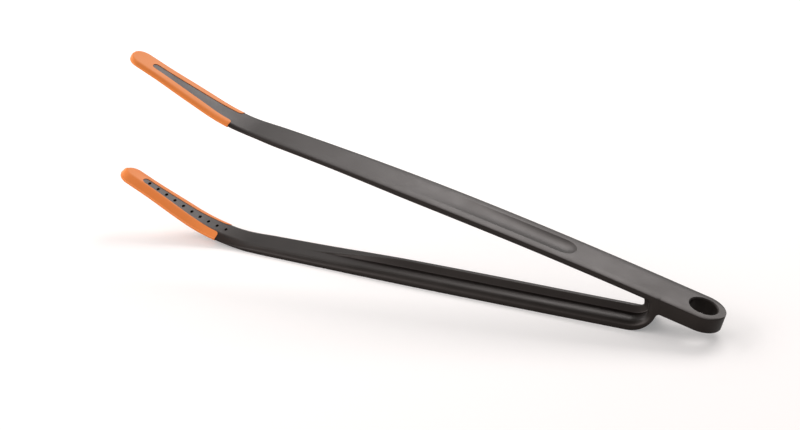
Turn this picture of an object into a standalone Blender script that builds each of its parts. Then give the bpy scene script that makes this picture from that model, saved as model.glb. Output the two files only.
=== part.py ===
"""Kitchen tongs: two nylon arms on one springy bend, each with a moulded silicone tip.

The tongs lie on the underside of the lower arm. The tips point to -X, the tail with its hang hole
to +X, and the arms open in the XZ plane. Every size is in metres.
"""

import math

import bmesh
import bpy
from mathutils import Vector

# Overall sizes
OVERALL_LENGTH = 0.300
SEAT_GAP = 0.0003
OVERRUN = 0.002

# Side view of the lower arm, which lies flat on its outer face
TIP_LENGTH = 0.0592
LOWER_TIP_PITCH = math.radians(25.2)
LOWER_ELBOW_RADIUS = 0.089

# Side view of the upper arm, walked from the end of the tail
TAIL_END_HEIGHT = 0.0108
TAIL_PITCH = math.radians(14.5)
TAIL_RUN = 0.0363
ARM_RUN = 0.1926
ARM_END_PITCH = math.radians(10.15)
UPPER_ELBOW_RADIUS = 0.0932
UPPER_TIP_PITCH = math.radians(25.3)

# Heel of the bend and the notch behind it
HEEL_RADIUS = 0.0135
HEEL_TO_TAIL_END = 0.0274
HEEL_WALL = 0.0052
BEND_POWER = 2.0
WEB_BEND_POWER = 2.3
SPRING_TOP_HEIGHT = 0.0093
SPRING_ON_FLOOR = 0.0065
WALL_FILLET = 0.0020
WALL_DRAFT = 0.0004
NOTCH_FILLET = 0.0016

# Widths in plan, the same on both arms
TIP_WIDTH = 0.0131
TIP_MIDDLE_WIDTH = 0.0152
TIP_ROOT_WIDTH = 0.0167
ARM_WIDTH = 0.0209
BEND_WIDTH = 0.0206
TAIL_WIDTH = 0.0202
TIP_CORNER = 0.0060
TIP_TAPER_END = 0.014
MID_TIP_SHARE = 0.4
MID_ARM_SHARE = 0.5
BEND_TO_TAIL_END = 0.0538

# Section of the arms: a plate with sloped shoulders and a web along its middle
PLATE = 0.0033
CROWN = 0.0004
FLAT_HALF_WIDTH = 0.0060
EDGE = 0.0012
EDGE_BEVEL = 0.00025
SHOULDER = 0.0022
SHOULDER_BULGE = 1.5
BEND_SHOULDER = 0.0050
SHOULDER_GROWTH = 0.070
WEB_WIDTH = 0.0022
WEB_HEIGHT = 0.0041
WEB_FILLET = 0.0006
WEB_FOOT_SHARE = 0.14
WEB_ROUND = 0.0005
WEB_START = 0.054
WEB_RISE = 0.045

# Section of the tail
TAIL_THICKNESS = 0.0077
TAIL_CORNER = 0.0013
TAIL_ROUND = TAIL_WIDTH / 2.0

# Section of the tips
TIP_THICKNESS = 0.0029
TIP_CROWN = 0.0009
TIP_EDGE = 0.0016
TIP_SHOULDER = 0.0040
TIP_NOSE = 0.0016
TIP_NOSE_SHARE = 0.5
ELBOW_EASE = 0.025

# Nylon core strip of each tip and the tongue that keys the silicone
CORE_ROOT_HALF_WIDTH = 0.0052
CORE_MIDDLE_HALF_WIDTH = 0.0034
CORE_END_HALF_WIDTH = 0.0020
SILICONE_END = 0.0113
CORE_ROOT_ROUND = 0.0030
LEG_END = 0.0018
TONGUE_THICKNESS = 0.0013
TONGUE_EDGE_THICKNESS = 0.0006
TONGUE_INSET = 0.0022
TONGUE_DRAFT = 0.0001
SILICONE_PROUD = 0.00025

# Thumb scoop in the outer face of the upper arm, placed from the end of the tail
SCOOP_START = 0.072
SCOOP_LENGTH = 0.091
SCOOP_HALF_WIDTH = FLAT_HALF_WIDTH
SCOOP_DEPTH = 0.0013
SCOOP_DEEPEST_SHARE = 0.14
SCOOP_END_SHARE = 0.2

# Dimples in the inner faces of the tips, placed from the end of the tip
DIMPLE_COUNT = 10
DIMPLE_PITCH = 0.00505
DIMPLE_RADIUS = 0.0006
DIMPLE_DEPTH = 0.0008
DIMPLE_FIRST = 0.0150

# Hang hole
HOLE_RADIUS = 0.0063
HOLE_CHAMFER = 0.0004

# Axis about which the bend flexes
AXIS_FROM_HEEL_BACK = 0.0060
AXIS_HEIGHT = 0.0080

# Fineness of the mesh
HOLE_SIDES = 32
DIMPLE_SIDES = 8
SMOOTH_ANGLE = math.radians(32.0)
HALVINGS = 40
OUTER_SHARES = (0.0, 0.5, 0.85, 1.0)
CORE_SHARES = (0.0, 0.3, 0.55, 0.75, 0.9, 1.0)
MID_SHARE = 0.5
SLOPE_SHARE = 0.4
NARROW_SHARES = (0.75, 0.55, 0.4, 0.25)

# Finishes
NYLON_COLOUR = (0.022, 0.019, 0.017, 1.0)
NYLON_ROUGHNESS = 0.42
SILICONE_COLOUR = (0.80, 0.19, 0.035, 1.0)
SILICONE_ROUGHNESS = 0.55

UPWARD = 1.0
DOWNWARD = -1.0
HEEL_TURN = math.pi / 2.0


def clear_scene():
    """Remove whatever the file holds."""
    for item in list(bpy.data.objects):
        bpy.data.objects.remove(item, do_unlink=True)


def finish(name, colour, roughness):
    """A plain moulded finish."""
    material = bpy.data.materials.new(name)
    material.use_nodes = True
    shader = material.node_tree.nodes["Principled BSDF"]
    shader.inputs["Base Color"].default_value = colour
    shader.inputs["Roughness"].default_value = roughness
    shader.inputs["Metallic"].default_value = 0.0
    return material


def clamp(value, low=0.0, high=1.0):
    """Keep a value between two limits."""
    return max(low, min(high, value))


def ease(share):
    """A smooth step from 0 to 1."""
    share = clamp(share)
    return share * share * (3.0 - 2.0 * share)


def mix(first, second, share):
    """The value that lies at a share of the way from first to second."""
    return first + (second - first) * share


def smooth_curve(stations, place):
    """A cubic through (place, value) stations, held level past both ends."""
    places = [station[0] for station in stations]
    values = [station[1] for station in stations]
    if place <= places[0]:
        return values[0]
    if place >= places[-1]:
        return values[-1]
    slopes = []
    for index in range(len(places)):
        before = max(index - 1, 0)
        after = min(index + 1, len(places) - 1)
        level = index == 0 or index == len(places) - 1
        rise = (values[after] - values[before]) / (places[after] - places[before])
        slopes.append(0.0 if level else rise)
    index = max(i for i in range(len(places)) if places[i] <= place)
    span = places[index + 1] - places[index]
    t = (place - places[index]) / span
    start = values[index] * (1.0 + 2.0 * t) * (1.0 - t) ** 2
    end = values[index + 1] * t * t * (3.0 - 2.0 * t)
    start_slope = slopes[index] * span * t * (1.0 - t) ** 2
    end_slope = slopes[index + 1] * span * t * t * (t - 1.0)
    return start + end + start_slope + end_slope


def concave_fillet(past, radius):
    """Height of a quarter-round fillet that starts at 0 and turns upright at its radius."""
    past = clamp(past, 0.0, radius)
    return radius - math.sqrt(radius * radius - past * past)


class Spine:
    """The outer face in side view, as straight runs and arcs walked from one end."""

    def __init__(self, start, heading, inward, runs):
        self.inward = inward
        self.runs = []
        travelled = 0.0
        for length, turn in runs:
            self.runs.append((travelled, length, turn, start, heading))
            start = self.step(start, heading, turn, length, length)
            heading += turn
            travelled += length
        self.length = travelled

    def step(self, start, heading, turn, length, distance):
        """The point a distance along one run."""
        if abs(turn) * length == 0.0:
            return start + distance * Vector((math.cos(heading), math.sin(heading)))
        radius = length / turn
        angle = heading + turn * distance / length
        across = math.sin(angle) - math.sin(heading)
        along = math.cos(heading) - math.cos(angle)
        return start + radius * Vector((across, along))

    def at(self, distance):
        """The point, the heading and the inward normal at a distance from the start."""
        run = self.runs[0]
        for candidate in self.runs:
            if candidate[0] <= distance:
                run = candidate
        travelled, length, turn, start, heading = run
        ahead = distance - travelled
        angle = heading + turn * ahead / length
        point = self.step(start, heading, turn, length, ahead)
        normal = self.inward * Vector((math.sin(angle), -math.cos(angle)))
        return point, angle, normal

    def place(self, distance, across, depth):
        """A point in space, from its distance along, its place across and its depth inward."""
        point, _, normal = self.at(distance)
        return Vector((point.x + depth * normal.x, across, point.y + depth * normal.y))


def lower_spine():
    """From the top of the heel, down round it, along the floor and up the lower tip."""
    heel_centre_x = OVERALL_LENGTH / 2.0 - HEEL_TO_TAIL_END - HEEL_RADIUS
    start = Vector((heel_centre_x + HEEL_RADIUS, HEEL_RADIUS))
    elbow_tangent = LOWER_ELBOW_RADIUS * math.tan(LOWER_TIP_PITCH / 2.0)
    elbow_x = TIP_LENGTH * math.cos(LOWER_TIP_PITCH) - OVERALL_LENGTH / 2.0
    floor_run = heel_centre_x - elbow_x - elbow_tangent
    runs = (
        (HEEL_RADIUS * HEEL_TURN, -HEEL_TURN),
        (floor_run, 0.0),
        (LOWER_ELBOW_RADIUS * LOWER_TIP_PITCH, -LOWER_TIP_PITCH),
        (TIP_LENGTH - elbow_tangent, 0.0),
    )
    return Spine(start, math.pi + HEEL_TURN, UPWARD, runs)


def upper_spine():
    """From the end of the tail, along the upper arm and up its tip."""
    elbow_turn = UPPER_TIP_PITCH - ARM_END_PITCH
    elbow_tangent = UPPER_ELBOW_RADIUS * math.tan(elbow_turn / 2.0)
    start = Vector((OVERALL_LENGTH / 2.0, TAIL_END_HEIGHT))
    runs = (
        (TAIL_RUN, 0.0),
        (ARM_RUN, TAIL_PITCH - ARM_END_PITCH),
        (UPPER_ELBOW_RADIUS * elbow_turn, -elbow_turn),
        (TIP_LENGTH - elbow_tangent, 0.0),
    )
    return Spine(start, math.pi - TAIL_PITCH, DOWNWARD, runs)


def web_share(across):
    """Height of the web at a place across it, as a share of its full height."""
    half = WEB_WIDTH / 2.0
    if across >= half + WEB_FILLET:
        return 0.0
    if across >= half:
        return WEB_FOOT_SHARE * (half + WEB_FILLET - across) / WEB_FILLET
    rounding = clamp((across - half + WEB_ROUND) / WEB_ROUND)
    return 1.0 - WEB_ROUND / WEB_HEIGHT * rounding * rounding


class Arm:
    """Widths and depths of one arm; a place is a distance along its spine."""

    def __init__(self, spine, bend, crown):
        self.spine = spine
        self.bend = bend
        self.crown = crown
        self.end = spine.length
        self.tip_root = spine.length - TIP_LENGTH
        self.width_stations = (
            (0.0, TAIL_WIDTH / 2.0),
            (bend, BEND_WIDTH / 2.0),
            (mix(bend, self.tip_root, MID_ARM_SHARE), ARM_WIDTH / 2.0),
            (self.tip_root, TIP_ROOT_WIDTH / 2.0),
            (mix(self.tip_root, self.end, MID_TIP_SHARE), TIP_MIDDLE_WIDTH / 2.0),
            (self.end - TIP_TAPER_END, TIP_WIDTH / 2.0),
        )

    def half_width(self, place):
        """Half the width, with the round corners of the blunt tip."""
        half = smooth_curve(self.width_stations, place)
        past = clamp(place - self.end + TIP_CORNER, 0.0, TIP_CORNER)
        return half - concave_fillet(past, TIP_CORNER)

    def tip_share(self, place):
        """0 on the arm and 1 on the tip, eased along the elbow."""
        return ease((place - self.tip_root + ELBOW_EASE) / ELBOW_EASE)

    def plate(self, place):
        """Thickness of the plate."""
        return mix(PLATE, TIP_THICKNESS, self.tip_share(place))

    def edge(self, place):
        """Depth of the upright edge at the side of the plate."""
        return mix(EDGE, TIP_EDGE, self.tip_share(place))

    def shoulder(self, place):
        """Width of the slope between the edge and the inner face."""
        near_bend = 1.0 - ease((place - self.bend) / SHOULDER_GROWTH)
        arm = mix(SHOULDER, BEND_SHOULDER, near_bend)
        return mix(arm, TIP_SHOULDER, self.tip_share(place))

    def web(self, place):
        """Height of the web above the plate."""
        return WEB_HEIGHT * ease((self.tip_root - WEB_START - place) / WEB_RISE)

    def slope_share(self, place, across):
        """0 on the flat of the inner face and 1 at the side of the arm."""
        slope = self.shoulder(place)
        share = clamp((across - self.half_width(place) + slope) / slope)
        return share ** SHOULDER_BULGE

    def nose(self, place):
        """How far each face draws in to mid depth at the very end of the tip, as a share."""
        share = clamp((place - self.end + TIP_NOSE) / TIP_NOSE)
        return TIP_NOSE_SHARE * (1.0 - math.sqrt(1.0 - share * share))

    def guide(self, place):
        """Half-width of the strip in the middle that the columns of the outer face follow."""
        return min(FLAT_HALF_WIDTH, self.half_width(place) * NARROW_SHARES[0])

    def faces(self, place, across):
        """Depths of the crowned outer face and of the inner face with shoulder and web."""
        half = self.half_width(place)
        flat = min(FLAT_HALF_WIDTH, half * NARROW_SHARES[0])
        share = clamp((across - flat) / (half - flat))
        outer = mix(self.crown, TIP_CROWN, self.tip_share(place)) * share * share
        inner = mix(self.plate(place), self.edge(place), self.slope_share(place, across))
        return outer, inner + self.web(place) * web_share(across)

    def outer_depth(self, place, across):
        """Depth of the outer face below the spine."""
        outer, inner = self.faces(place, across)
        return mix(outer, (outer + inner) / 2.0, self.nose(place))

    def inner_depth(self, place, across):
        """Depth of the inner face below the spine."""
        outer, inner = self.faces(place, across)
        return mix(inner, (outer + inner) / 2.0, self.nose(place))

    def slope_column(self, place):
        """Width of the shoulder that the columns of the inner face follow."""
        return self.shoulder(place)

    def half_section(self, place):
        """Half of a cross section, from the middle of the outer face round to the inner."""
        half = self.half_width(place)
        guide = self.guide(place)
        outer = [guide * share for share in OUTER_SHARES]
        outer += [mix(guide, half, MID_SHARE), half - EDGE_BEVEL]
        points = [(across, self.outer_depth(place, across)) for across in outer]
        points.append((half, self.outer_depth(place, half) + EDGE_BEVEL))
        top = max(half - self.slope_column(place), half * NARROW_SHARES[0])
        web = [WEB_WIDTH / 2.0 + WEB_FILLET, WEB_WIDTH / 2.0, WEB_WIDTH / 2.0 - WEB_ROUND]
        web = [min(across, half * share) for across, share in zip(web, NARROW_SHARES[1:])]
        inner = [half, mix(half, top, SLOPE_SHARE), top, mix(top, web[0], MID_SHARE)]
        inner += web + [0.0]
        points += [(across, self.inner_depth(place, across)) for across in inner]
        return points


class LowerArm(Arm):
    """The lower arm with the heel of the bend, from the back of the heel to the tip."""

    def inner_depth(self, place, across):
        """Depth of the inner face, carried round the inside of the bend."""
        depth = super().inner_depth(place, across)
        turned = HEEL_TURN - place / HEEL_RADIUS
        if turned <= 0.0:
            return depth
        web = web_share(across)
        wall = mix(HEEL_WALL, EDGE, self.slope_share(place, across)) + WEB_HEIGHT * web
        power = mix(BEND_POWER, WEB_BEND_POWER, web)
        return HEEL_RADIUS - bend_reach(turned, HEEL_RADIUS - wall, depth, power)


def bend_reach(turned, reach_back, floor, power):
    """Distance from the centre of the heel to the inside of the bend, at an angle turned up.

    The inside stands upright above the top of the spring and rounds off below it, down to the
    inner face of the lower arm.
    """
    across = math.sin(turned)
    down = math.cos(turned)
    rise = SPRING_TOP_HEIGHT - floor
    level = HEEL_RADIUS - SPRING_TOP_HEIGHT
    near = 0.0
    far = HEEL_RADIUS
    for _ in range(HALVINGS):
        reach = (near + far) / 2.0
        below = max(reach * down - level, 0.0)
        outside = (reach * across / reach_back) ** power + (below / rise) ** power > 1.0
        near, far = (near, reach) if outside else (reach, far)
    return near


class UpperArm(Arm):
    """The upper arm with its thumb scoop, the tail and the stub of the bend under it."""

    def half_width(self, place):
        """Half the width, with the round end of the tail."""
        share = clamp(1.0 - place / TAIL_ROUND)
        return super().half_width(place) - TAIL_ROUND * (1.0 - math.sqrt(1.0 - share * share))

    def guide(self, place):
        """The strip in the middle, drawn in round the end of the thumb scoop."""
        along = place - SCOOP_START
        if along < 0.0 or along >= SCOOP_HALF_WIDTH:
            return super().guide(place)
        share = 1.0 - along / SCOOP_HALF_WIDTH
        return SCOOP_HALF_WIDTH * max(math.sqrt(1.0 - share * share), SCOOP_END_SHARE)

    def scoop(self, place, across):
        """Depth of the thumb scoop."""
        along = place - SCOOP_START
        if along <= 0.0 or along >= SCOOP_LENGTH:
            return 0.0
        share = across / self.guide(place)
        deepest = SCOOP_LENGTH * SCOOP_DEEPEST_SHARE
        rise = ease(along / deepest) if along < deepest else 1.0
        fall = ease((SCOOP_LENGTH - along) / (SCOOP_LENGTH - deepest))
        return SCOOP_DEPTH * rise * fall * clamp(1.0 - share * share)

    def outer_depth(self, place, across):
        """Depth of the outer face with the scoop in it."""
        return super().outer_depth(place, across) + self.scoop(place, across)

    def stub_depth(self, place):
        """Depth at which the stub meets the top of the spring piece."""
        point, angle, _ = self.spine.at(place)
        return (point.y - SPRING_TOP_HEIGHT - SEAT_GAP) / -math.cos(angle)

    def tail_depth(self, place, across):
        """Depth of the tail and of the stub, with the notch behind the heel filleted."""
        if place >= STUB_BACK:
            return self.stub_depth(place)
        past = clamp(place - STUB_BACK + NOTCH_FILLET, 0.0, NOTCH_FILLET)
        depth = TAIL_THICKNESS + concave_fillet(past, NOTCH_FILLET)
        if past > 0.0:
            depth = min(depth, self.stub_depth(place))
        corner = TAIL_CORNER * (1.0 - past / NOTCH_FILLET)
        share = clamp((across - self.half_width(place) + TAIL_CORNER) / TAIL_CORNER)
        return depth - corner * (1.0 - math.sqrt(1.0 - share * share))

    def front(self, place, across):
        """Place where the front of the stub stands, at a place across it."""
        share = self.slope_share(place, across)
        wall = mix(HEEL_WALL, EDGE, share) + WEB_HEIGHT * web_share(across)
        return stub_place(HEEL_TO_TAIL_END + wall)

    def inner_depth(self, place, across):
        """Depth of the inner face: tail, stub, plate and web."""
        ahead = super().inner_depth(place, across)
        front = self.front(place, across)
        if place >= front:
            past = clamp(front + WALL_FILLET - place, 0.0, WALL_FILLET)
            return min(ahead + concave_fillet(past, WALL_FILLET), self.stub_depth(place))
        if place <= front - WALL_DRAFT:
            return self.tail_depth(place, across)
        share = (front - place) / WALL_DRAFT
        return mix(ahead + WALL_FILLET, self.tail_depth(place, across), share)

    def slope_column(self, place):
        """The shoulder ahead of the stub and the round corner of the tail behind it."""
        ahead = place > stub_place(HEEL_TO_TAIL_END)
        return self.shoulder(place) if ahead else TAIL_CORNER


def stub_place(from_tail_end):
    """Place along the upper spine of an upright that stands this far from the tail's end."""
    lean = TAIL_THICKNESS * math.sin(TAIL_PITCH)
    return (from_tail_end - lean) / math.cos(TAIL_PITCH)


STUB_RISE = HEEL_RADIUS - SPRING_TOP_HEIGHT - SEAT_GAP
STUB_SETBACK = HEEL_RADIUS - math.sqrt(HEEL_RADIUS ** 2 - STUB_RISE ** 2)
STUB_BACK = stub_place(HEEL_TO_TAIL_END + STUB_SETBACK)
HEEL_ARC = HEEL_RADIUS * HEEL_TURN
CORE_LENGTH = TIP_LENGTH - SILICONE_END
CORE_STATIONS = (
    (0.0, CORE_ROOT_HALF_WIDTH),
    (CORE_LENGTH * MID_TIP_SHARE, CORE_MIDDLE_HALF_WIDTH),
    (CORE_LENGTH, CORE_END_HALF_WIDTH),
)
LOWER = LowerArm(lower_spine(), HEEL_ARC, 0.0)
UPPER = UpperArm(upper_spine(), BEND_TO_TAIL_END, CROWN)


def core_half_width(arm, place):
    """Half-width of the nylon strip left open in the middle of a tip."""
    along = place - arm.tip_root
    taper_end = CORE_LENGTH - CORE_END_HALF_WIDTH
    half = smooth_curve(CORE_STATIONS, along)
    if along < CORE_ROOT_ROUND:
        past = 1.0 - clamp(along / CORE_ROOT_ROUND)
        flare = 1.0 - math.sqrt(1.0 - past * past)
        return mix(half, arm.half_width(arm.tip_root) - LEG_END, flare)
    if along > taper_end:
        past = clamp((along - taper_end) / CORE_END_HALF_WIDTH)
        return half * math.sqrt(1.0 - past * past)
    return half


def tongue_faces(arm, place, across, thickness):
    """Depths of the two faces of the tongue inside the silicone, at a place across it."""
    middle = (arm.outer_depth(place, across) + arm.inner_depth(place, across)) / 2.0
    return middle - thickness / 2.0, middle + thickness / 2.0


def tongue_half_width(arm, place):
    """Half-width of the tongue, inset from the side of the tip."""
    return arm.half_width(place) - TONGUE_INSET


def tip_half_section(arm, place):
    """Half section of the nylon inside a tip: the core strip with the tongue at mid depth."""
    upper, lower = tongue_faces(arm, place, 0.0, TONGUE_THICKNESS)
    bare_end = arm.tip_root + CORE_LENGTH
    core = max(core_half_width(arm, place), TONGUE_DRAFT)
    root = core + TONGUE_DRAFT
    tongue = max(tongue_half_width(arm, place), root + TONGUE_DRAFT)
    edge = tongue_faces(arm, place, tongue, TONGUE_EDGE_THICKNESS)
    across = [core * share for share in CORE_SHARES]
    if place < bare_end:
        points = [(y, arm.outer_depth(place, y)) for y in across]
        inner = [(y, arm.inner_depth(place, y)) for y in reversed(across[2:])]
    else:
        points = [(y, upper) for y in across]
        inner = [(y, lower) for y in reversed(across[2:])]
    points += [(root, upper), (tongue, edge[0]), (tongue, edge[1]), (root, lower)]
    inner_centre = arm.inner_depth(place, 0.0) if place < bare_end else lower
    return points + inner + [(0.0, inner_centre)]


def mirrored_ring(arm, place, half):
    """A closed ring in space from the half section at a place along the arm."""
    other = [(-across, depth) for across, depth in reversed(half[1:-1])]
    return [arm.spine.place(place, across, depth) for across, depth in half + other]


def spread(start, end, count):
    """Evenly spaced places from start up to, but not including, end."""
    return [mix(start, end, index / count) for index in range(count)]


def loft(rings):
    """A closed mesh through rings with the same number of points."""
    mesh = bmesh.new()
    loops = [[mesh.verts.new(point) for point in ring] for ring in rings]
    count = len(loops[0])
    for first, second in zip(loops, loops[1:]):
        for index in range(count):
            after = (index + 1) % count
            mesh.faces.new((first[index], first[after], second[after], second[index]))
    mesh.faces.new(loops[0])
    mesh.faces.new(loops[-1])
    bmesh.ops.recalc_face_normals(mesh, faces=mesh.faces)
    return mesh


def cut_level(mesh, height):
    """Cut a mesh off level above a height and close it."""
    geometry = mesh.verts[:] + mesh.edges[:] + mesh.faces[:]
    level = Vector((0.0, 0.0, height))
    up = Vector((0.0, 0.0, UPWARD))
    cut = bmesh.ops.bisect_plane(
        mesh, geom=geometry, dist=0.0, plane_co=level, plane_no=up, clear_outer=True
    )
    rim = [item for item in cut["geom_cut"] if isinstance(item, bmesh.types.BMEdge)]
    bmesh.ops.contextual_create(mesh, geom=rim)
    bmesh.ops.recalc_face_normals(mesh, faces=mesh.faces)


def add_piece(name, mesh, material):
    """Make an object of a mesh, shaded smooth with its true edges kept sharp."""
    data = bpy.data.meshes.new(name)
    mesh.to_mesh(data)
    mesh.free()
    data.materials.append(material)
    data.shade_smooth()
    data.set_sharp_from_angle(angle=SMOOTH_ANGLE)
    piece = bpy.data.objects.new(name, data)
    bpy.context.collection.objects.link(piece)
    return piece


def cut_with(piece, name, mesh):
    """Cut a piece with a closed mesh that is kept as a wire guide."""
    data = bpy.data.meshes.new(name)
    mesh.to_mesh(data)
    mesh.free()
    cutter = bpy.data.objects.new(name, data)
    bpy.context.collection.objects.link(cutter)
    cutter.hide_render = True
    cutter.display_type = "WIRE"
    cut = piece.modifiers.new(name, "BOOLEAN")
    cut.operation = "DIFFERENCE"
    cut.solver = "EXACT"
    cut.object = cutter


def circle(arm, place, radius, depth, sides):
    """A ring of points round the inward normal at a place on the middle of an arm."""
    point, _, normal = arm.spine.at(place)
    along = Vector((-normal.y, 0.0, normal.x))
    centre = Vector((point.x + depth * normal.x, 0.0, point.y + depth * normal.y))
    across = Vector((0.0, UPWARD, 0.0))
    turns = [2.0 * math.pi * index / sides for index in range(sides)]
    return [centre + radius * (math.cos(a) * along + math.sin(a) * across) for a in turns]


def dimple_cutters(arm):
    """Small round cutters in a row along the inner face of a tip."""
    mesh = bmesh.new()
    for index in range(DIMPLE_COUNT):
        place = arm.end - DIMPLE_FIRST - index * DIMPLE_PITCH
        face = arm.inner_depth(place, 0.0)
        depths = (face - DIMPLE_DEPTH, face + OVERRUN)
        rings = [circle(arm, place, DIMPLE_RADIUS, depth, DIMPLE_SIDES) for depth in depths]
        dimple = loft(rings)
        data = bpy.data.meshes.new("dimple")
        dimple.to_mesh(data)
        dimple.free()
        mesh.from_mesh(data)
        bpy.data.meshes.remove(data)
    return mesh


def hole_cutter():
    """The hang hole with its chamfered rims, concentric with the round end of the tail."""
    wide = HOLE_RADIUS + HOLE_CHAMFER + OVERRUN
    steps = (
        (wide, -OVERRUN),
        (HOLE_RADIUS, HOLE_CHAMFER),
        (HOLE_RADIUS, TAIL_THICKNESS - HOLE_CHAMFER),
        (wide, TAIL_THICKNESS + OVERRUN),
    )
    return loft([circle(UPPER, TAIL_ROUND, radius, depth, HOLE_SIDES) for radius, depth in steps])


def tip_rings(arm, first_inside):
    """Rings of the nylon inside a tip, from its root to the end of the tongue."""
    bare_end = arm.tip_root + CORE_LENGTH
    taper_end = bare_end - CORE_END_HALF_WIDTH
    root_end = arm.tip_root + CORE_ROOT_ROUND
    tongue_end = arm.end - TONGUE_INSET - SEAT_GAP
    places = spread(first_inside, root_end, 4)
    places += spread(root_end, taper_end, 9)
    places += spread(taper_end, bare_end, 3)
    places += [bare_end - TONGUE_DRAFT, bare_end + TONGUE_DRAFT]
    places += spread(bare_end + CORE_END_HALF_WIDTH, tongue_end, 4) + [tongue_end]
    return [mirrored_ring(arm, place, tip_half_section(arm, place)) for place in places]


def arm_rings(arm, places):
    """Rings of the plain arm at the given places."""
    return [mirrored_ring(arm, place, arm.half_section(place)) for place in places]


def room_half_section(arm, place, bare_end):
    """Half section of the room that the nylon core and its tongue take in the silicone."""
    upper, lower = tongue_faces(arm, place, 0.0, TONGUE_THICKNESS + 2.0 * SEAT_GAP)
    core = max(core_half_width(arm, place - SEAT_GAP), 0.0) + SEAT_GAP
    tongue = max(tongue_half_width(arm, place), core) + SEAT_GAP
    edge = tongue_faces(arm, place, tongue, TONGUE_EDGE_THICKNESS + 2.0 * SEAT_GAP)
    through = place < bare_end
    outer = -OVERRUN if through else upper
    inner = arm.plate(place) + OVERRUN if through else lower
    corner = core - TONGUE_DRAFT
    points = [(0.0, outer), (corner, outer), (core, upper), (tongue, edge[0])]
    return points + [(tongue, edge[1]), (core, lower), (corner, inner), (0.0, inner)]


def room_cutter(arm):
    """The slot for the core, right through the silicone, with the slot for the tongue."""
    root_end = arm.tip_root + CORE_ROOT_ROUND
    taper_end = arm.tip_root + CORE_LENGTH - CORE_END_HALF_WIDTH
    bare_end = arm.tip_root + CORE_LENGTH + SEAT_GAP
    tongue_end = arm.end - TONGUE_INSET
    places = [arm.tip_root - OVERRUN]
    places += spread(arm.tip_root, root_end, 5) + spread(root_end, taper_end, 9)
    places += spread(taper_end, bare_end, 4)
    places += [bare_end - TONGUE_DRAFT, bare_end + TONGUE_DRAFT]
    places += spread(bare_end + CORE_END_HALF_WIDTH, tongue_end, 4) + [tongue_end]
    rings = []
    for place in places:
        rings.append(mirrored_ring(arm, place, room_half_section(arm, place, bare_end)))
    return loft(rings)


def silicone_half_section(arm, place):
    """Half section of the outside of the silicone, slightly proud of the nylon."""
    half = arm.half_width(place)
    top = max(half - arm.shoulder(place), half * NARROW_SHARES[1])
    outer = [half * share for share in OUTER_SHARES[:-1]] + [half - EDGE_BEVEL]
    points = [(across, arm.outer_depth(place, across) - SILICONE_PROUD) for across in outer]
    side = half + SILICONE_PROUD
    points.append((side, arm.outer_depth(place, half) + EDGE_BEVEL))
    points.append((side, arm.inner_depth(place, half)))
    slopes = [mix(half, top, SLOPE_SHARE), top, top * MID_SHARE, 0.0]
    points += [(across, arm.inner_depth(place, across) + SILICONE_PROUD) for across in slopes]
    return points


def silicone_grip(name, arm, material):
    """The orange horseshoe moulded round a tip."""
    start = arm.tip_root + SEAT_GAP
    places = spread(start, arm.end - TIP_CORNER, 14)
    turns = [math.radians(angle) for angle in (0.0, 16.0, 31.0, 45.0, 57.0, 67.0, 76.0, 84.0)]
    places += [arm.end - TIP_CORNER * (1.0 - math.sin(turn)) for turn in turns] + [arm.end]
    rings = [mirrored_ring(arm, place, silicone_half_section(arm, place)) for place in places]
    piece = add_piece(name, loft(rings), material)
    cut_with(piece, name + "_room", room_cutter(arm))
    return piece


def make_lower_arm(material):
    """The lower arm from the cut beside the bend to the end of its tongue."""
    start = HEEL_ARC + SPRING_ON_FLOOR + SEAT_GAP / 2.0
    web_end = LOWER.tip_root - WEB_START
    places = spread(start, LOWER.bend + SHOULDER_GROWTH, 6)
    places += spread(LOWER.bend + SHOULDER_GROWTH, web_end, 9)
    elbow_start = LOWER.tip_root - LOWER_ELBOW_RADIUS * math.tan(LOWER_TIP_PITCH / 2.0)
    places += spread(web_end, elbow_start, 4)
    places += spread(elbow_start, LOWER.tip_root, 5) + [LOWER.tip_root]
    rings = arm_rings(LOWER, places) + tip_rings(LOWER, LOWER.tip_root + SEAT_GAP)
    piece = add_piece("lower_arm", loft(rings), material)
    cut_with(piece, "lower_dimples", dimple_cutters(LOWER))
    return piece


def make_spring_bend(material):
    """The flexing bend: the heel and the wall that rises under the tail."""
    end = HEEL_ARC + SPRING_ON_FLOOR - SEAT_GAP / 2.0
    places = spread(0.0, HEEL_ARC, 16) + spread(HEEL_ARC, end, 2) + [end]
    mesh = loft(arm_rings(LOWER, places))
    cut_level(mesh, SPRING_TOP_HEIGHT)
    return add_piece("spring_bend", mesh, material)


def tail_places():
    """Places round the end of the tail, along it and through the stub."""
    turns = [math.radians(angle) for angle in (84.0, 76.0, 66.0, 54.0, 40.0, 24.0, 8.0)]
    places = [TAIL_ROUND * (1.0 - math.sin(turn)) for turn in turns]
    places += spread(TAIL_ROUND, STUB_BACK - NOTCH_FILLET, 3)
    places += spread(STUB_BACK - NOTCH_FILLET, STUB_BACK, 5)
    return places


def stub_places():
    """Places through the stub and the fillets in front of it."""
    plate_front = stub_place(HEEL_TO_TAIL_END + HEEL_WALL)
    web_front = stub_place(HEEL_TO_TAIL_END + HEEL_WALL + WEB_HEIGHT)
    side_front = stub_place(HEEL_TO_TAIL_END + EDGE)
    places = [STUB_BACK, side_front - WALL_DRAFT]
    places += spread(side_front, plate_front - WALL_DRAFT, 3)
    places += [plate_front - WALL_DRAFT]
    places += spread(plate_front, plate_front + WALL_FILLET, 4)
    places += [plate_front + WALL_FILLET, web_front - WALL_DRAFT]
    places += spread(web_front, web_front + WALL_FILLET, 5)
    return places + [web_front + WALL_FILLET]


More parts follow.
